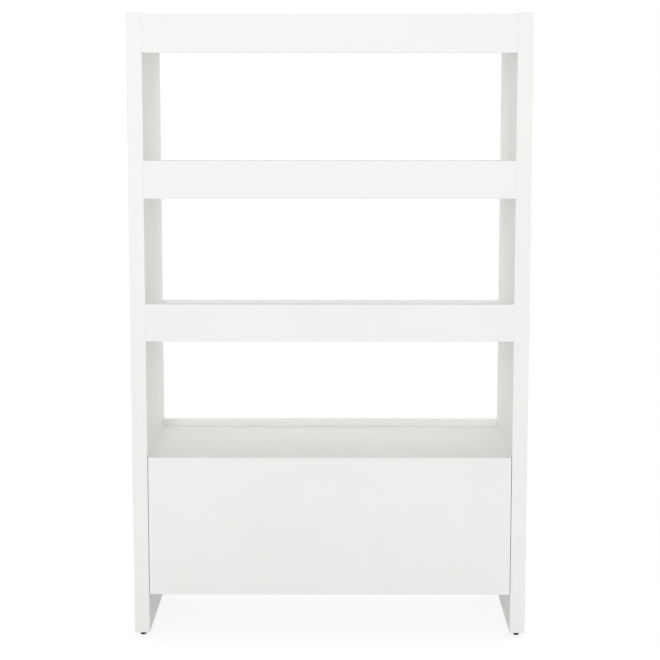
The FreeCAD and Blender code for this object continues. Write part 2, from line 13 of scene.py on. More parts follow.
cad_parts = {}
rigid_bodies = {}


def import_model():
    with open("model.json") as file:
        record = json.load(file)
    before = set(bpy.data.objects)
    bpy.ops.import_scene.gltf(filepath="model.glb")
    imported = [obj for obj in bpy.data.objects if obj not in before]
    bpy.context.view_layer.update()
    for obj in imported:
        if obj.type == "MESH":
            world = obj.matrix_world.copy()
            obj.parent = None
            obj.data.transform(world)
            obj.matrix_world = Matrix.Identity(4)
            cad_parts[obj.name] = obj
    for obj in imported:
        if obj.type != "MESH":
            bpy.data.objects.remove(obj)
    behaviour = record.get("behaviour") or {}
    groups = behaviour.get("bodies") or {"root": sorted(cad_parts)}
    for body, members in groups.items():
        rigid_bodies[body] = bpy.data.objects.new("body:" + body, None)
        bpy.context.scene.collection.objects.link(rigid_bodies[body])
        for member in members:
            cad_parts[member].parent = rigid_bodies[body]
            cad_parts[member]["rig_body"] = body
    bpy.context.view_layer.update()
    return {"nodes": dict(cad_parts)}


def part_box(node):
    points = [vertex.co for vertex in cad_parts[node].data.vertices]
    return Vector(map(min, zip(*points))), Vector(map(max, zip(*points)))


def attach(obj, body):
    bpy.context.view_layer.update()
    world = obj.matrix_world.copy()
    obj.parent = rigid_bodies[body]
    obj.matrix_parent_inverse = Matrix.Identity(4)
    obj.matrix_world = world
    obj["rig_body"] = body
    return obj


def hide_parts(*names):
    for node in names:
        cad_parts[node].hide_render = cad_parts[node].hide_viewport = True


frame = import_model()

MM = 0.001

SHELVES = ("top", "middle", "lower")
SIDES = ("left", "right")
CORNERS = tuple(f"{end}_{side}" for end in ("front", "back") for side in SIDES)
UPRIGHT_BOARDS = tuple(f"{shelf}_rail" for shelf in SHELVES) + ("cabinet_back",)
FLAT_BOARDS = tuple(f"{shelf}_shelf" for shelf in SHELVES) + ("cabinet_top", "cabinet_floor")

# Rounded edges of the boards
FRONT_ROUND = 1.2 * MM
BOARD_ROUND = 0.8 * MM
ROUND_STEPS = 3

# Shading: edges that stay sharp, and how much large flat faces steer the normals, of 100
SHARP_ANGLE = math.radians(40)
FLAT_WEIGHT = 80

# Joinery
TENON_SHOULDER = 5 * MM
TENON_INSET = 20 * MM
TENON_PLAY = 0.2 * MM
TONGUE_THICK = 8 * MM
FINGER_BEVEL = 9 * MM
SCREW_HOLE = 2.1 * MM
SLIDE_HOLE_DEPTH = 13 * MM
INSERT_HOLE = 6.2 * MM
HOLE_SPARE = 1 * MM
DRILL_STEPS = 48

# Points closer than these count as on one line, or as one point
NEAR = 0.01 * MM
WELD = 0.001 * MM

# Screws, their heads measured from the underside
SHANK_RADIUS = 2.0 * MM
THREAD_DEPTH = 0.55 * MM
THREAD_PITCH = 1.6 * MM
THREAD_ROWS = 4
NECK = 0.4 * MM
POINT_LENGTH = 3.0 * MM
POINT_RADII = (0.2 * MM, 0.9 * MM)
SCREW_STEPS = 24
PAN_RADIUS = 3.5 * MM
PAN_WALL = 0.55 * MM
PAN_HEIGHT = 1.8 * MM
PAN_CROWN = 2.2 * MM
FLAT_RADIUS = 3.42 * MM
FLAT_HEIGHT = 1.2 * MM
FLAT_RIM = 0.07 * MM
DOME_STEPS = 4
RECESS_ARM = 1.5 * MM
RECESS_HALF = 0.42 * MM
RECESS_DEPTH = 1.0 * MM
RECESS_TAPER = 0.6

# Levelling foot: a round base swells into a six-sided body, whose corners are turned off at its top
FOOT_SIDES = 6
FOOT_FLAT = 6.5 * MM
FOOT_CORNER = 7.45 * MM
FOOT_BASE = 4.7 * MM
FOOT_SWELL = 4.2 * MM
FOOT_SHOULDER = 8.3 * MM
FOOT_HEIGHT = 9.0 * MM
FOOT_STEPS = 48
SWELL_STEPS = 6
STUD_RADIUS = 4.0 * MM
STUD_THREAD = 0.62 * MM
STUD_PITCH = 1.25 * MM

# Bumper: the height of its wall, and the radius of the flat on its dome
BUMPER_WALL = 0.6 * MM
BUMPER_FLAT = 1.9 * MM
BUMPER_STEPS = 32

# Slides: a member's flanges have ball races on their (outer, inner) faces
MEMBER_RACES = {"cabinet": (False, True), "middle": (True, True), "drawer": (True, False)}
SLIDE_THICK = 1.2 * MM
BEND_ROUND = 1.9 * MM
TIP_ROUND = 0.35 * MM
ARC_STEPS = 6
RACE_RADIUS = 2.15 * MM
RACE_DEPTH = 0.35 * MM
SUNK_HEAD = 3.6 * MM
SUNK_SHANK = 2.1 * MM
BALL_RADIUS = 2.0 * MM
BALL_ROWS = 11
BALL_STEPS = 20
BALLS_IN_ROW = 6
BALL_FROM_PANEL = 7.5 * MM
HALF_CAGE_STEEL = 0.3 * MM

# Noise mostly lies between these values
NOISE_LOW = 0.3
NOISE_HIGH = 0.7

# Plies show on the drawer box where a face looks up by more than this
FACING_UP = 0.9

# Light of the world: strengths, shares of them, and where they change, as parts of a direction
FRONT_LIGHT = 0.88
BACK_LIGHT = 1.60
DEPTH_CHANGE = (-0.35, 0.35)
SIDE_SHARE = 0.68
SIDE_CHANGE = (0.60, 0.98)
HIGH_SHARE = 0.52
HIGH_CHANGE = (0.28, 0.82)

# Floor: what it throws back, how its shadow is seen, and where that fades into white
FLOOR_RADIUS = 6.0
FLOOR_STEPS = 96
FLOOR_COLOUR = (0.90, 0.90, 0.90, 1.0)
SHADE_COLOUR = (0.26, 0.26, 0.26, 1.0)
SHADE_LIFT = 0.80
SHADE_FADE = (0.75, 1.35)
WHITE = (1.0, 1.0, 1.0, 1.0)

# Camera, fitted to the photograph's framing
CAMERA_PLACE = (0.022, -4.177, 1.303)
CAMERA_PITCH = math.radians(7.56)
CAMERA_YAW = math.radians(0.304)
CAMERA_LENS = 95.65
CAMERA_SENSOR = 36.0
CAMERA_SHIFT = -0.03
CAMERA_REACH = 100.0

# Places that the boards share, from the frame
inner_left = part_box("side_panel_left")[1].x
inner_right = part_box("side_panel_right")[0].x
board_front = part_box("top_rail")[1].y
tenon_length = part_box("top_rail")[1].x - inner_right


# Node helpers

def new_material(name):
    """An empty node material with its shader and the piece's own coordinates."""
    material = bpy.data.materials.new(name)
    material.use_nodes = True
    tree = material.node_tree
    shader = tree.nodes["Principled BSDF"]
    place = tree.nodes.new("ShaderNodeTexCoord").outputs["Object"]
    return material, tree, shader, place


def stretched(tree, place, scale):
    """The piece's coordinates, stretched by a scale per axis."""
    node = tree.nodes.new("ShaderNodeMapping")
    node.inputs["Scale"].default_value = scale
    tree.links.new(place, node.inputs["Vector"])
    return node.outputs["Vector"]


def noise(tree, place, scale, detail=2.0, rough=0.5):
    """A cloudy value over the coordinates."""
    node = tree.nodes.new("ShaderNodeTexNoise")
    node.inputs["Scale"].default_value = scale
    node.inputs["Detail"].default_value = detail
    node.inputs["Roughness"].default_value = rough
    tree.links.new(place, node.inputs["Vector"])
    return node.outputs["Fac"]


def ramp(tree, value, *stops):
    """A colour ramp over a value, from (position, colour) stops."""
    node = tree.nodes.new("ShaderNodeValToRGB")
    elements = node.color_ramp.elements
    while len(elements) < len(stops):
        elements.new(0.5)
    for element, (position, colour) in zip(elements, stops):
        element.position = position
        element.color = (*colour, 1.0)
    tree.links.new(value, node.inputs["Fac"])
    return node.outputs["Color"]


def map_range(tree, value, start, end, low, high, change="LINEAR"):
    """A change from low to high as the value goes from start to end."""
    node = tree.nodes.new("ShaderNodeMapRange")
    node.interpolation_type = change
    node.inputs["From Min"].default_value = start
    node.inputs["From Max"].default_value = end
    node.inputs["To Min"].default_value = low
    node.inputs["To Max"].default_value = high
    tree.links.new(value, node.inputs["Value"])
    return node.outputs["Result"]


def eased(tree, value, start, end, low, high):
    """A change from low to high that starts and ends gently."""
    return map_range(tree, value, start, end, low, high, "SMOOTHSTEP")


def spread(tree, value, low, high):
    """A noise value, spread from low to high."""
    return map_range(tree, value, NOISE_LOW, NOISE_HIGH, low, high)


def arithmetic(tree, operation, first, second=None):
    """The result of an operation on a value and a second one, which may be a number."""
    node = tree.nodes.new("ShaderNodeMath")
    node.operation = operation
    tree.links.new(first, node.inputs[0])
    if isinstance(second, float):
        node.inputs[1].default_value = second
    elif second:
        tree.links.new(second, node.inputs[1])
    return node.outputs["Value"]


def bump(tree, height, strength, distance, before=None):
    """A normal roughened by a height, over an earlier one if it is given."""
    node = tree.nodes.new("ShaderNodeBump")
    node.inputs["Strength"].default_value = strength
    node.inputs["Distance"].default_value = distance
    tree.links.new(height, node.inputs["Height"])
    if before:
        tree.links.new(before, node.inputs["Normal"])
    return node.outputs["Normal"]


def blend(tree, kind, amount, first, second):
    """Two colours blended, the amount a number or a value."""
    node = tree.nodes.new("ShaderNodeMix")
    node.data_type = "RGBA"
    node.blend_type = kind
    if isinstance(amount, float):
        node.inputs["Factor"].default_value = amount
    else:
        tree.links.new(amount, node.inputs["Factor"])
    tree.links.new(first, node.inputs["A"])
    tree.links.new(second, node.inputs["B"])
    return node.outputs["Result"]


# Materials

def white_paint():
    """Sprayed satin white: even, slightly warm, with the faint stipple of a sprayed coat."""
    material, tree, shader, place = new_material("white_paint")
    cloud = noise(tree, place, scale=3.1, detail=3.0)
    colour = ramp(tree, cloud, (0.30, (0.855, 0.852, 0.835)), (0.70, (0.880, 0.877, 0.860)))
    tree.links.new(colour, shader.inputs["Base Color"])
    sheen = noise(tree, place, scale=26.0, detail=3.0)
    tree.links.new(spread(tree, sheen, low=0.48, high=0.60), shader.inputs["Roughness"])
    broad = noise(tree, place, scale=38.0, detail=1.0)
    waves = bump(tree, broad, strength=0.05, distance=0.4 * MM)
    fine = noise(tree, place, scale=620.0)
    stipple = bump(tree, fine, strength=0.06, distance=0.12 * MM, before=waves)
    tree.links.new(stipple, shader.inputs["Normal"])
    return material


def birch_face(tree, place, fine, broad, tones, streak):
    """The face of birch, in three tones and darker along its fibres; returns its fibre and its colour."""
    fibre = noise(tree, stretched(tree, place, fine), scale=1.0, detail=4.0, rough=0.62)
    figure = noise(tree, stretched(tree, place, broad), scale=1.0, detail=3.0)
    light = ramp(tree, figure, *zip((0.30, 0.52, 0.74), tones))
    streaks = ramp(tree, fibre, (0.30, streak), (0.60, (1.0, 1.0, 1.0)))
    return fibre, blend(tree, "MULTIPLY", 0.8, light, streaks)


def birch(name, grain, across):
    """Clear lacquered birch: the grain runs along one axis, the plies show in edges that face up."""
    material, tree, shader, place = new_material(name)
    fine = [170.0, 170.0, 170.0]
    fine[grain] = 7.0
    broad = [22.0, 22.0, 22.0]
    broad[grain] = 1.3
    tones = ((0.560, 0.400, 0.235), (0.660, 0.500, 0.315), (0.720, 0.570, 0.380))
    fibre, face = birch_face(tree, place, fine, broad, tones, streak=(0.80, 0.76, 0.70))
    plies = tree.nodes.new("ShaderNodeTexWave")
    plies.bands_direction = "XYZ"[across]
    plies.inputs["Scale"].default_value = 115.0
    plies.inputs["Distortion"].default_value = 0.6
    tree.links.new(place, plies.inputs["Vector"])
    dark, pale = (0.400, 0.265, 0.140), (0.690, 0.530, 0.340)
    layers = ramp(tree, plies.outputs["Fac"], (0.35, dark), (0.65, pale))
    facing = tree.nodes.new("ShaderNodeSeparateXYZ")
    tree.links.new(tree.nodes.new("ShaderNodeTexCoord").outputs["Normal"], facing.inputs["Vector"])
    upward = arithmetic(tree, "GREATER_THAN", facing.outputs["Z"], FACING_UP)
    colour = blend(tree, "MIX", upward, face, layers)
    tree.links.new(colour, shader.inputs["Base Color"])
    tree.links.new(spread(tree, fibre, low=0.38, high=0.52), shader.inputs["Roughness"])
    tree.links.new(bump(tree, fibre, strength=0.18, distance=0.15 * MM), shader.inputs["Normal"])
    return material


def birch_sheet(name):
    """The drawer's bottom: a thin birch sheet, grain across the drawer."""
    material, tree, shader, place = new_material(name)
    fine, broad = (6.0, 150.0, 150.0), (1.1, 13.0, 13.0)
    tones = ((0.600, 0.440, 0.265), (0.690, 0.535, 0.345), (0.745, 0.600, 0.410))
    fibre, face = birch_face(tree, place, fine, broad, tones, streak=(0.82, 0.78, 0.72))
    tree.links.new(face, shader.inputs["Base Color"])
    tree.links.new(spread(tree, fibre, low=0.38, high=0.52), shader.inputs["Roughness"])
    tree.links.new(bump(tree, fibre, strength=0.15, distance=0.12 * MM), shader.inputs["Normal"])
    return material


def plated_steel(name, dark, light, rough, drawn):
    """Zinc plated steel: cloudy plating, with fine lines where the strip was drawn."""
    material, tree, shader, place = new_material(name)
    lines = noise(tree, stretched(tree, place, drawn), scale=1.0, detail=3.0)
    cloud = noise(tree, place, scale=140.0, detail=3.0)
    colour = ramp(tree, cloud, (0.32, dark), (0.68, light))
    tree.links.new(colour, shader.inputs["Base Color"])
    shader.inputs["Metallic"].default_value = 1.0
    tree.links.new(spread(tree, lines, *rough), shader.inputs["Roughness"])
    tree.links.new(bump(tree, lines, strength=0.12, distance=0.05 * MM), shader.inputs["Normal"])
    return material


def moulded_plastic(name, dark, light, rough, grain):
    """Moulded plastic or rubber with a fine moulded grain."""
    material, tree, shader, place = new_material(name)
    speck = noise(tree, place, scale=grain)
    tree.links.new(ramp(tree, speck, (0.32, dark), (0.68, light)), shader.inputs["Base Color"])
    tree.links.new(spread(tree, speck, *rough), shader.inputs["Roughness"])
    tree.links.new(bump(tree, speck, strength=0.25, distance=0.08 * MM), shader.inputs["Normal"])
    return material


PAINT = white_paint()
WALL_WOOD = birch("birch_along", grain=1, across=0)
END_WOOD = birch("birch_across", grain=0, across=1)
SHEET_WOOD = birch_sheet("birch_sheet")
SLIDE_STEEL = plated_steel(
    "slide_steel", dark=(0.560, 0.570, 0.590), light=(0.650, 0.660, 0.680), rough=(0.24, 0.38),
    drawn=(1500.0, 14.0, 1500.0),
)
CAGE_STEEL = plated_steel(
    "cage_steel", dark=(0.600, 0.565, 0.480), light=(0.690, 0.655, 0.570), rough=(0.26, 0.40),
    drawn=(1500.0, 20.0, 1500.0),
)
BALL_STEEL = plated_steel(
    "ball_steel", dark=(0.700, 0.700, 0.705), light=(0.760, 0.760, 0.765), rough=(0.08, 0.14),
    drawn=(900.0, 900.0, 900.0),
)
FASTENER_STEEL = plated_steel(
    "fastener_steel", dark=(0.500, 0.510, 0.530), light=(0.600, 0.610, 0.630), rough=(0.26, 0.40),
    drawn=(700.0, 700.0, 700.0),
)
FOOT_PLASTIC = moulded_plastic(
    "foot_plastic", dark=(0.013, 0.013, 0.014), light=(0.024, 0.024, 0.026), rough=(0.42, 0.58),
    grain=900.0,
)
BUMPER_RUBBER = moulded_plastic(
    "bumper_rubber", dark=(0.640, 0.640, 0.620), light=(0.730, 0.730, 0.710), rough=(0.30, 0.45),
    grain=700.0,
)


# Mesh helpers

def smooth_piece(name, mesh, material, slot, body, *nodes):
    """A mesh as a piece on a body: smooth over rounded edges, sharp at corners and flat on faces."""
    name = f"{name}_visual"
    bmesh.ops.recalc_face_normals(mesh, faces=mesh.faces)
    for face in mesh.faces:
        face.smooth = True
    for edge in mesh.edges:
        edge.smooth = edge.calc_face_angle(0.0) < SHARP_ANGLE
    data = bpy.data.meshes.new(name)
    mesh.to_mesh(data)
    mesh.free()
    data.materials.append(material)
    piece = bpy.data.objects.new(name, data)
    bpy.context.scene.collection.objects.link(piece)
    normals = piece.modifiers.new("flat_faces", "WEIGHTED_NORMAL")
    normals.weight = FLAT_WEIGHT
    normals.keep_sharp = True
    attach(piece, body)
    if nodes:
        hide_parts(*nodes)


def prism(mesh, outline, low, high):
    """A solid along X from an outline of (y, z) points; returns its edges."""
    ends = [[mesh.verts.new((x, y, z)) for y, z in outline] for x in (low, high)]
    edges = set()
    for end in ends:
        edges.update(mesh.faces.new(end).edges)
    for i in range(len(outline)):
        j = i - 1
        edges.update(mesh.faces.new((ends[0][j], ends[0][i], ends[1][i], ends[1][j])).edges)
    return edges


def box_outline(low_y, low_z, high_y, high_z):
    """The (y, z) corners of a rectangle."""
    return ((low_y, low_z), (high_y, low_z), (high_y, high_z), (low_y, high_z))


def skin(mesh, rings, closed_end=True):
    """A surface over rings of the same number of points; returns its vertices, ring by ring."""
    made = [[mesh.verts.new(point) for point in ring] for ring in rings]
    for first, second in zip(made, made[1:]):
        for i in range(len(first)):
            mesh.faces.new((first[i - 1], first[i], second[i], second[i - 1]))
    mesh.faces.new(made[0])
    if closed_end:
        mesh.faces.new(made[-1])
    return made


def circle(radius, height, steps):
    """Points of a level circle about Z."""
    turns = [2 * math.pi * i / steps for i in range(steps)]
    return [(radius * math.cos(turn), radius * math.sin(turn), height) for turn in turns]


def dome(rim, crown, steps):
    """A quarter of an ellipse as (radius, height) points, upright at its rim and level at its crown."""
    points = []
    for step in range(steps + 1):
        turn = math.pi / 2 * step / steps
        radius = crown[0] + (rim[0] - crown[0]) * math.cos(turn)
        points.append((radius, rim[1] + (crown[1] - rim[1]) * math.sin(turn)))
    return points


def thread(radius, depth, pitch, low, high, steps):
    """Rings of a screw thread about Z, run out at its upper end."""
    rows = round((high - low) / pitch * THREAD_ROWS)
    rings = []
    for row in range(rows + 1):
        height = low + (high - low) * row / rows
        runout = min(1.0, (high - height) / pitch)
        ring = []
        for i in range(steps):
            turn = 2 * math.pi * i / steps
            phase = (height / pitch - i / steps) % 1.0
            reach = radius - depth * (1.0 - runout * (1.0 - abs(2 * phase - 1)))
            ring.append((reach * math.cos(turn), reach * math.sin(turn), height))
        rings.append(ring)
    return rings


def add_drill(mesh, start, end, radius, end_radius=None):
    """A rod from start to end, or a cone to another radius, as the tool for a hole."""
    run = end - start
    turn = Vector((0, 0, 1)).rotation_difference(run).to_matrix().to_4x4()
    middle = Matrix.Translation((start + end) / 2)
    bmesh.ops.create_cone(mesh, cap_ends=True, segments=DRILL_STEPS, radius1=radius,
                          radius2=end_radius or radius, depth=run.length, matrix=middle @ turn)


def combined(operation, mesh, tools):
    """The mesh with the tools' solids cut out of it or joined to it, as one closed skin."""
    pair = []
    for part in (mesh, tools):
        data = bpy.data.meshes.new("carving")
        bmesh.ops.recalc_face_normals(part, faces=part.faces)
        part.to_mesh(data)
        part.free()
        item = bpy.data.objects.new("carving", data)
        bpy.context.scene.collection.objects.link(item)
        pair.append(item)
    change = pair[0].modifiers.new("change", "BOOLEAN")
    change.operation = operation
    change.solver = "EXACT"
    change.object = pair[1]
    shape = pair[0].evaluated_get(bpy.context.evaluated_depsgraph_get())
    result = bmesh.new()
    result.from_mesh(shape.to_mesh())
    shape.to_mesh_clear()
    for item in pair:
        data = item.data
        bpy.data.objects.remove(item)
        bpy.data.meshes.remove(data)
    return result


def round_edges(mesh, edges, radius):
    """Rounds the edges of a mesh."""
    bmesh.ops.bevel(mesh, geom=list(edges), offset=radius, segments=ROUND_STEPS, profile=0.5,
                    affect="EDGES", clamp_overlap=True)


def long_edges(edges, *corners):
    """The edges along X that run through the given (y, z) corners."""
    found = []
    for edge in edges:
        first, second = (vert.co for vert in edge.verts)
        if abs(first.x - second.x) > NEAR:
            if any(math.hypot(first.y - y, first.z - z) < NEAR for y, z in corners):
                found.append(edge)
    return found


def solid_boxes(node):
    """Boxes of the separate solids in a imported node, as (lowest, highest) corners."""
    data = frame["nodes"][node].data
    solid = bmesh.new()
    solid.from_mesh(data)
    bmesh.ops.remove_doubles(solid, verts=solid.verts, dist=WELD)
    left = set(solid.verts)
    boxes = []
    while left:
        found = set()
        waiting = [left.pop()]
        while waiting:
            vert = waiting.pop()
            found.add(vert)
            for link in vert.link_edges:
                other = link.other_vert(vert)
                if other in left:
                    left.remove(other)
                    waiting.append(other)
        places = [vert.co for vert in found]
        boxes.append((Vector([min(p[i] for p in places) for i in range(3)]),
                      Vector([max(p[i] for p in places) for i in range(3)])))
    solid.free()
    return sorted(boxes, key=lambda box: tuple(box[0]))


def screw_spots(node):
    """The middles of a node's screws."""
    return [(low + high) / 2 for low, high in solid_boxes(node)]


# Case

def body_of(node):
    """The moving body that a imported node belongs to."""
    return frame["nodes"][node]["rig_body"]


def board_box(name):
    """A hung board without its tenons and its tongue."""
    low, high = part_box(name)
    low.x, high.x = inner_left, inner_right
    if name.endswith("_shelf"):
        low.y = board_front
    return low, high


def tenon_outline(name, play=0.0):
    """The (y, z) corners of a board's tenon, or of its mortise, which has play round the tenon."""
    low, high = board_box(name)
    deep, tall = (TENON_SHOULDER, TENON_INSET) if name in UPRIGHT_BOARDS else (TENON_INSET, TENON_SHOULDER)
    return box_outline(low.y + deep - play, low.z + tall - play, high.y - deep + play, high.z - tall + play)


def side_panel(side):
    """A side panel with rounded edges, mortised for the boards and drilled for the slide and the feet."""
    name = f"side_panel_{side}"
    low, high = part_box(name)
    mesh = bmesh.new()
    round_edges(mesh, prism(mesh, box_outline(low.y, low.z, high.y, high.z), low.x, high.x), FRONT_ROUND)
    face, inward = (high.x, -1) if side == "left" else (low.x, 1)
    over, end = face - inward * HOLE_SPARE, face + inward * (tenon_length + HOLE_SPARE)
    tools = bmesh.new()
    for board in UPRIGHT_BOARDS + FLAT_BOARDS:
        prism(tools, tenon_outline(board, TENON_PLAY), min(over, end), max(over, end))
    for spot in screw_spots("slide_cabinet_screws"):
        if (spot.x < 0) == (side == "left"):
            start = Vector((over, spot.y, spot.z))
            add_drill(tools, start, Vector((face + inward * SLIDE_HOLE_DEPTH, spot.y, spot.z)), SCREW_HOLE)
    for corner in CORNERS:
        if corner.endswith(side):
            foot_low, foot_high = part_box(f"leveller_{corner}")
            middle = (foot_low + foot_high) / 2
            start = Vector((middle.x, middle.y, low.z - HOLE_SPARE))
            add_drill(tools, start, Vector((middle.x, middle.y, foot_high.z + HOLE_SPARE)), INSERT_HOLE)
    smooth_piece(name, combined("DIFFERENCE", mesh, tools), PAINT, "white_paint", "case", name)


def hung_board(name, outline, corners, radius):
    """A board between the side panels, rounded along its given corners, with a tenon at each end."""
    mesh = bmesh.new()
    edges = prism(mesh, outline, inner_left, inner_right)
    round_edges(mesh, long_edges(edges, *corners), radius)
    tenons = bmesh.new()
    for low, high in ((inner_left - tenon_length, inner_left), (inner_right, inner_right + tenon_length)):
        prism(tenons, tenon_outline(name), low, high)
    smooth_piece(name, combined("UNION", mesh, tenons), PAINT, "white_paint", "case", name)


def shelf_and_rail(shelf):
    """A shelf with a tongue along its front, and the tall rail that is grooved for it."""
    low, high = board_box(f"{shelf}_shelf")
    middle = (low.z + high.z) / 2
    half = TONGUE_THICK / 2
    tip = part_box(f"{shelf}_shelf")[0].y
    outline = (
        (low.y, low.z), (high.y, low.z), (high.y, high.z), (low.y, high.z),
        (low.y, middle + half), (tip, middle + half), (tip, middle - half), (low.y, middle - half),
    )
    hung_board(f"{shelf}_shelf", outline, ((high.y, low.z), (high.y, high.z)), BOARD_ROUND)
    low, high = board_box(f"{shelf}_rail")
    half += TENON_PLAY
    inside = tip - TENON_PLAY
    outline = (
        (low.y, low.z), (high.y, low.z), (high.y, middle - half), (inside, middle - half),
        (inside, middle + half), (high.y, middle + half), (high.y, high.z), (low.y, high.z),
    )
    corners = ((low.y, low.z), (high.y, low.z), (high.y, high.z), (low.y, high.z))
    hung_board(f"{shelf}_rail", outline, corners, FRONT_ROUND)


def cabinet():
    """Top, floor and back of the closed base."""
    low, high = board_box("cabinet_top")
    outline = box_outline(low.y, low.z, high.y, high.z)
    hung_board("cabinet_top", outline, ((low.y, high.z),), BOARD_ROUND)
    low, high = board_box("cabinet_floor")
    outline = box_outline(low.y, low.z, high.y, high.z)
    hung_board("cabinet_floor", outline, ((low.y, low.z), (low.y, high.z)), BOARD_ROUND)
    low, high = board_box("cabinet_back")
    outline = box_outline(low.y, low.z, high.y, high.z)
    hung_board("cabinet_back", outline, ((low.y, high.z), (high.y, high.z)), BOARD_ROUND)


def drawer_front():
    """The flush front, with a bevel behind its lower edge for the fingers."""
    low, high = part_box("drawer_front")
    outline = (
        (low.y, low.z), (high.y - FINGER_BEVEL, low.z), (high.y, low.z + FINGER_BEVEL),
        (high.y, high.z), (low.y, high.z),
    )
    mesh = bmesh.new()
    round_edges(mesh, prism(mesh, outline, low.x, high.x), FRONT_ROUND)
    tools = bmesh.new()
    for screw_low, screw_high in solid_boxes("drawer_front_screws"):
        middle = (screw_low + screw_high) / 2
        start = Vector((middle.x, high.y + HOLE_SPARE, middle.z))
        add_drill(tools, start, Vector((middle.x, screw_low.y - HOLE_SPARE, middle.z)), SCREW_HOLE)
    front = combined("DIFFERENCE", mesh, tools)
    smooth_piece("drawer_front", front, PAINT, "white_paint", "drawer", "drawer_front")


# Hardware: profiles are (radius, height) points

PAN_HEAD = [(PAN_RADIUS, 0.0)] + dome((PAN_RADIUS, PAN_WALL), (PAN_CROWN, PAN_HEIGHT), DOME_STEPS)
FLAT_HEAD = [(SHANK_RADIUS, 0.0), (FLAT_RADIUS, FLAT_HEIGHT - FLAT_RIM), (FLAT_RADIUS, FLAT_HEIGHT)]
FOOT_SWELLING = dome((FOOT_CORNER, FOOT_SWELL), (FOOT_BASE, 0.0), SWELL_STEPS)[::-1]
FOOT_PROFILE = FOOT_SWELLING + dome((FOOT_CORNER, FOOT_SHOULDER), (FOOT_FLAT, FOOT_HEIGHT), DOME_STEPS)


def cross_recess(mesh, rim, height):
    """Closes a screw's head inside its rim, with a cross-shaped recess; returns the new vertices."""
    arm, half = RECESS_ARM, RECESS_HALF
    cross = (
        (half, arm), (-half, arm), (-half, half), (-arm, half), (-arm, -half), (-half, -half),
        (-half, -arm), (half, -arm), (half, -half), (arm, -half), (arm, half), (half, half),
    )
    upper = [mesh.verts.new((x, y, height)) for x, y in cross]
    lower = [mesh.verts.new((RECESS_TAPER * x, RECESS_TAPER * y, height - RECESS_DEPTH)) for x, y in cross]
    edges = [mesh.edges.get((rim[i - 1], rim[i])) for i in range(len(rim))]
    edges += [mesh.edges.new((upper[i - 1], upper[i])) for i in range(len(cross))]
    bmesh.ops.triangle_fill(mesh, use_beauty=True, edges=edges, normal=(0.0, 0.0, 1.0))
    for i in range(len(cross)):
        mesh.faces.new((upper[i - 1], upper[i], lower[i], lower[i - 1]))
    mesh.faces.new(lower)
    return upper + lower


def add_screw(mesh, place, out, head, length):
    """A wood screw with a cross recess: place is under its head, and out points from its tip to its head."""
    tip, waist = POINT_RADII
    rings = [circle(tip, -length, SCREW_STEPS), circle(waist, -length + POINT_LENGTH / 2, SCREW_STEPS)]
    rings += thread(SHANK_RADIUS, THREAD_DEPTH, THREAD_PITCH, -length + POINT_LENGTH, -NECK, SCREW_STEPS)
    rings += [circle(radius, height, SCREW_STEPS) for radius, height in head]
    made = skin(mesh, rings, closed_end=False)
    verts = [vert for ring in made for vert in ring]
    verts += cross_recess(mesh, made[-1], head[-1][1])
    turn = Vector((0, 0, 1)).rotation_difference(out).to_matrix().to_4x4()
    bmesh.ops.transform(mesh, matrix=Matrix.Translation(place) @ turn, verts=verts)


def screws(node, head, outward):
    """A node's screws; outward gives the direction of the head of a screw at a place."""
    head_high = head[-1][1]
    mesh = bmesh.new()
    for low, high in solid_boxes(node):
        middle = (low + high) / 2
        out = outward(middle)
        half = (high - low) / 2
        top = middle + Vector([out[i] * half[i] for i in range(3)])
        length = 2 * max(half) - head_high
        add_screw(mesh, top - out * head_high, out, head, length)
    smooth_piece(node, mesh, FASTENER_STEEL, "fastener_steel", body_of(node), node)


def leveller(corner):
    """A foot with a round base and a six-sided body, moulded on a threaded stud."""
    node = f"leveller_{corner}"
    low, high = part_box(node)
    half_side = math.pi / FOOT_SIDES
    rings = []
    for limit, height in FOOT_PROFILE:
        ring = []
        for x, y, z in circle(1.0, height, FOOT_STEPS):
            from_flat = (math.atan2(y, x) + half_side) % (2 * half_side) - half_side
            reach = min(FOOT_FLAT / math.cos(from_flat), limit)
            ring.append((x * reach, y * reach, z))
        rings.append(ring)
    rings += thread(STUD_RADIUS, STUD_THREAD, STUD_PITCH, FOOT_HEIGHT, high.z, FOOT_STEPS)
    mesh = bmesh.new()
    skin(mesh, rings)
    middle = (low + high) / 2
    bmesh.ops.translate(mesh, vec=(middle.x, middle.y, low.z), verts=mesh.verts)
    smooth_piece(node, mesh, FOOT_PLASTIC, "foot_plastic", body_of(node), node)


def bumpers():
    """Soft domed dots behind the drawer front."""
    node = "drawer_bumpers"
    turn = Matrix.Rotation(-math.pi / 2, 4, "X")
    mesh = bmesh.new()
    for low, high in solid_boxes(node):
        wide = (high.x - low.x) / 2
        profile = [(wide, 0.0)] + dome((wide, BUMPER_WALL), (BUMPER_FLAT, high.y - low.y), DOME_STEPS)
        made = skin(mesh, [circle(radius, height, BUMPER_STEPS) for radius, height in profile])
        middle = (low + high) / 2
        place = Matrix.Translation((middle.x, low.y, middle.z))
        bmesh.ops.transform(mesh, matrix=place @ turn, verts=[vert for ring in made for vert in ring])
    smooth_piece(node, mesh, BUMPER_RUBBER, "bumper_rubber", body_of(node), node)


def rounded_outline(corners):
    """Points of an outline of right-angled (x, z, radius) corners, with an arc where there is a radius."""
    points = []
    for i, (x, z, radius) in enumerate(corners):
        here = Vector((x, z))
        if radius:
            before = (Vector(corners[i - 1][:2]) - here).normalized() * radius
            after = (Vector(corners[(i + 1) % len(corners)][:2]) - here).normalized() * radius
            centre = here + before + after
            for step in range(ARC_STEPS + 1):
                turn = math.pi / 2 * step / ARC_STEPS
                points.append(centre - after * math.cos(turn) - before * math.sin(turn))
        else:
            points.append(here)
    return points


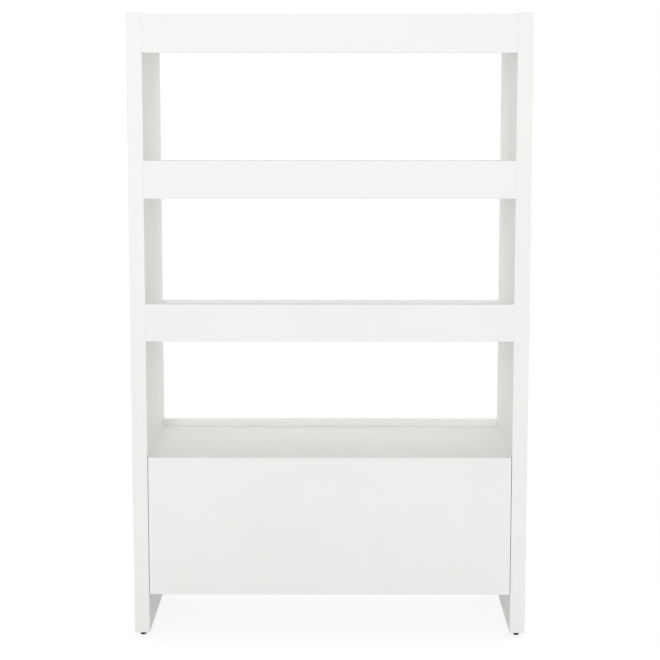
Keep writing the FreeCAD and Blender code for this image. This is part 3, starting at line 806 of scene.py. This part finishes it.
def race(ball, face, along, sink):
    """A ball race across a flange's face: along gives the way across it, and sink the way into the steel."""
    half_turn = math.acos(1 - RACE_DEPTH / RACE_RADIUS)
    centre = face - sink * (RACE_RADIUS - RACE_DEPTH)
    turns = [half_turn * (2 * step / ARC_STEPS - 1) for step in range(ARC_STEPS + 1)]
    return [(ball + along * RACE_RADIUS * math.sin(turn), centre + sink * RACE_RADIUS * math.cos(turn), 0)
            for turn in turns]


def slide_member(member, side):
    """A slide's pressed channel: rounded bends, ball races, and countersunk holes where it is screwed on."""
    node = f"slide_{member}_member_{side}"
    low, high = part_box(node)
    panel, inward = (inner_left, 1) if side == "left" else (inner_right, -1)
    near, far = (low.x, high.x) if side == "left" else (high.x, low.x)
    back, tip = (far, near) if member == "drawer" else (near, far)
    along = math.copysign(1, tip - back)
    ball = panel + inward * BALL_FROM_PANEL
    half = (high.z - low.z) / 2
    inside = half - SLIDE_THICK
    outer_race, inner_race = MEMBER_RACES[member]
    upper = [(back, half, BEND_ROUND)]
    upper += race(ball, half, along, -1) if outer_race else []
    upper += [(tip, half, TIP_ROUND), (tip, inside, TIP_ROUND)]
    upper += race(ball, inside, -along, 1) if inner_race else []
    upper += [(back + along * SLIDE_THICK, inside, BEND_ROUND - SLIDE_THICK)]
    lower = [(x, -z, radius) for x, z, radius in reversed(upper)]
    outline = rounded_outline(upper + lower)
    level = (low.z + high.z) / 2
    mesh = bmesh.new()
    skin(mesh, [[(x, y, level + z) for x, z in outline] for y in (low.y, high.y)])
    if member != "middle":
        tools = bmesh.new()
        spare = SLIDE_THICK / 2
        flare = (SUNK_HEAD - SUNK_SHANK) / SLIDE_THICK * spare
        for spot in screw_spots(f"slide_{member}_screws"):
            if (spot.x < 0) == (side == "left"):
                start = Vector((back + along * (SLIDE_THICK + spare), spot.y, spot.z))
                end = Vector((back - along * spare, spot.y, spot.z))
                add_drill(tools, start, end, SUNK_HEAD + flare, SUNK_SHANK - flare)
        mesh = combined("DIFFERENCE", mesh, tools)
    smooth_piece(node, mesh, SLIDE_STEEL, "slide_steel", body_of(node), node)


def balls(layer):
    """The bearing balls in the windows of both slides' cages."""
    node = f"slide_{layer}_ball_cages"
    low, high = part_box(node)
    level = (low.z + high.z) / 2
    row = (high.z - low.z) / 2 - HALF_CAGE_STEEL
    spacing = (high.y - low.y) / BALLS_IN_ROW
    turns = [math.pi * (row + 0.5) / BALL_ROWS for row in range(BALL_ROWS)]
    rings = [circle(BALL_RADIUS * math.sin(turn), -BALL_RADIUS * math.cos(turn), BALL_STEPS)
             for turn in turns]
    mesh = bmesh.new()
    for x in (inner_left + BALL_FROM_PANEL, inner_right - BALL_FROM_PANEL):
        for z in (level - row, level + row):
            for index in range(BALLS_IN_ROW):
                verts = [vert for ring in skin(mesh, rings) for vert in ring]
                bmesh.ops.translate(mesh, vec=(x, low.y + (index + 0.5) * spacing, z), verts=verts)
    smooth_piece(f"slide_{layer}_balls", mesh, BALL_STEEL, "slide_steel", body_of(node))


def sideways(middle, sign):
    """The way from the middle of the case to the side that a place is on, or back with a sign of -1."""
    return Vector((math.copysign(1.0, middle.x) * sign, 0.0, 0.0))


# Pieces

for side in SIDES:
    side_panel(side)
for shelf in SHELVES:
    shelf_and_rail(shelf)
cabinet()
drawer_front()
screws("drawer_front_screws", PAN_HEAD, lambda middle: Vector((0.0, 1.0, 0.0)))
screws("slide_cabinet_screws", FLAT_HEAD, lambda middle: sideways(middle, -1))
screws("slide_drawer_screws", FLAT_HEAD, lambda middle: sideways(middle, 1))
for corner in CORNERS:
    leveller(corner)
bumpers()
for member in MEMBER_RACES:
    for side in SIDES:
        slide_member(member, side)
for layer in ("outer", "inner"):
    balls(layer)


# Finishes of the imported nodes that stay

NODE_FINISH = {
    "drawer_box_left": WALL_WOOD,
    "drawer_box_right": WALL_WOOD,
    "drawer_box_front": END_WOOD,
    "drawer_box_back": END_WOOD,
    "drawer_bottom": SHEET_WOOD,
    "leveller_inserts": FASTENER_STEEL,
    "slide_outer_ball_cages": CAGE_STEEL,
    "slide_inner_ball_cages": CAGE_STEEL,
}
for node, material in NODE_FINISH.items():
    data = frame["nodes"][node].data
    data.materials.clear()
    data.materials.append(material)


# Stage: a white sweep, seen as plain white away from the object's shadow

def seen_ray(tree):
    """1 for rays from the camera, in a reflection or through glass."""
    path = tree.nodes.new("ShaderNodeLightPath")
    total = path.outputs["Is Camera Ray"]
    for name in ("Is Glossy Ray", "Is Transmission Ray"):
        total = arithmetic(tree, "MAXIMUM", total, path.outputs[name])
    return total


def studio_world():
    """Soft light, strongest from behind and dimmer from the front, sides and above; it is seen as white."""
    world = bpy.data.worlds.new("studio")
    world.use_nodes = True
    tree = world.node_tree
    tree.nodes.clear()
    direction = tree.nodes.new("ShaderNodeSeparateXYZ")
    tree.links.new(tree.nodes.new("ShaderNodeTexCoord").outputs["Generated"], direction.inputs["Vector"])
    depth = eased(tree, direction.outputs["Y"], *DEPTH_CHANGE, FRONT_LIGHT, BACK_LIGHT)
    across = arithmetic(tree, "ABSOLUTE", direction.outputs["X"])
    sides = eased(tree, across, *SIDE_CHANGE, 1.0, SIDE_SHARE)
    height = eased(tree, direction.outputs["Z"], *HIGH_CHANGE, 1.0, HIGH_SHARE)
    level = arithmetic(tree, "MULTIPLY", depth, sides)
    light = tree.nodes.new("ShaderNodeBackground")
    light.inputs["Color"].default_value = WHITE
    tree.links.new(arithmetic(tree, "MULTIPLY", level, height), light.inputs["Strength"])
    white = tree.nodes.new("ShaderNodeBackground")
    white.inputs["Color"].default_value = WHITE
    mix = tree.nodes.new("ShaderNodeMixShader")
    output = tree.nodes.new("ShaderNodeOutputWorld")
    tree.links.new(seen_ray(tree), mix.inputs["Fac"])
    tree.links.new(light.outputs["Background"], mix.inputs[1])
    tree.links.new(white.outputs["Background"], mix.inputs[2])
    tree.links.new(mix.outputs["Shader"], output.inputs["Surface"])
    bpy.context.scene.world = world


def floor():
    """A pale disc: it takes the object's shadow near it, and is plain white further out."""
    mesh = bmesh.new()
    bmesh.ops.create_circle(mesh, cap_ends=True, segments=FLOOR_STEPS, radius=FLOOR_RADIUS)
    data = bpy.data.meshes.new("floor")
    mesh.to_mesh(data)
    mesh.free()
    disc = bpy.data.objects.new("floor", data)
    bpy.context.scene.collection.objects.link(disc)
    material, tree, shader, place = new_material("floor")
    shader.inputs["Base Color"].default_value = FLOOR_COLOUR
    shader.inputs["Roughness"].default_value = 1.0
    shader.inputs["Specular IOR Level"].default_value = 0.0
    white = tree.nodes.new("ShaderNodeEmission")
    white.inputs["Strength"].default_value = 1.0
    lift = tree.nodes.new("ShaderNodeEmission")
    lift.inputs["Strength"].default_value = SHADE_LIFT
    shade = tree.nodes.new("ShaderNodeBsdfDiffuse")
    shade.inputs["Color"].default_value = SHADE_COLOUR
    lit = tree.nodes.new("ShaderNodeAddShader")
    tree.links.new(shade.outputs["BSDF"], lit.inputs[0])
    tree.links.new(lift.outputs["Emission"], lit.inputs[1])
    away = tree.nodes.new("ShaderNodeVectorMath")
    away.operation = "LENGTH"
    tree.links.new(place, away.inputs[0])
    near = tree.nodes.new("ShaderNodeMixShader")
    tree.links.new(eased(tree, away.outputs["Value"], *SHADE_FADE, 0.0, 1.0), near.inputs["Fac"])
    tree.links.new(lit.outputs["Shader"], near.inputs[1])
    tree.links.new(white.outputs["Emission"], near.inputs[2])
    seen = tree.nodes.new("ShaderNodeMixShader")
    tree.links.new(seen_ray(tree), seen.inputs["Fac"])
    tree.links.new(shader.outputs["BSDF"], seen.inputs[1])
    tree.links.new(near.outputs["Shader"], seen.inputs[2])
    tree.links.new(seen.outputs["Shader"], tree.nodes["Material Output"].inputs["Surface"])
    data.materials.append(material)


def softbox(name, place, aim, width, height, power):
    """A rectangular soft lamp that faces a place."""
    data = bpy.data.lights.new(name, "AREA")
    data.shape = "RECTANGLE"
    data.size = width
    data.size_y = height
    data.energy = power
    lamp = bpy.data.objects.new(name, data)
    bpy.context.scene.collection.objects.link(lamp)
    lamp.location = place
    lamp.rotation_euler = (Vector(aim) - Vector(place)).to_track_quat("-Z", "Y").to_euler()


studio_world()
floor()
softbox("front_softbox", place=(-0.4, -8.0, 3.6), aim=(0.0, 0.0, 0.3), width=2.0, height=1.7, power=178.0)


# Camera

camera_data = bpy.data.cameras.new("camera")
camera_data.lens = CAMERA_LENS
camera_data.sensor_width = CAMERA_SENSOR
camera_data.shift_y = CAMERA_SHIFT
camera_data.clip_end = CAMERA_REACH
camera = bpy.data.objects.new("camera", camera_data)
bpy.context.scene.collection.objects.link(camera)
camera.location = CAMERA_PLACE
camera.rotation_euler = (math.pi / 2 - CAMERA_PITCH, 0.0, CAMERA_YAW)
bpy.context.scene.camera = camera
bpy.context.scene.view_settings.view_transform = "Standard"
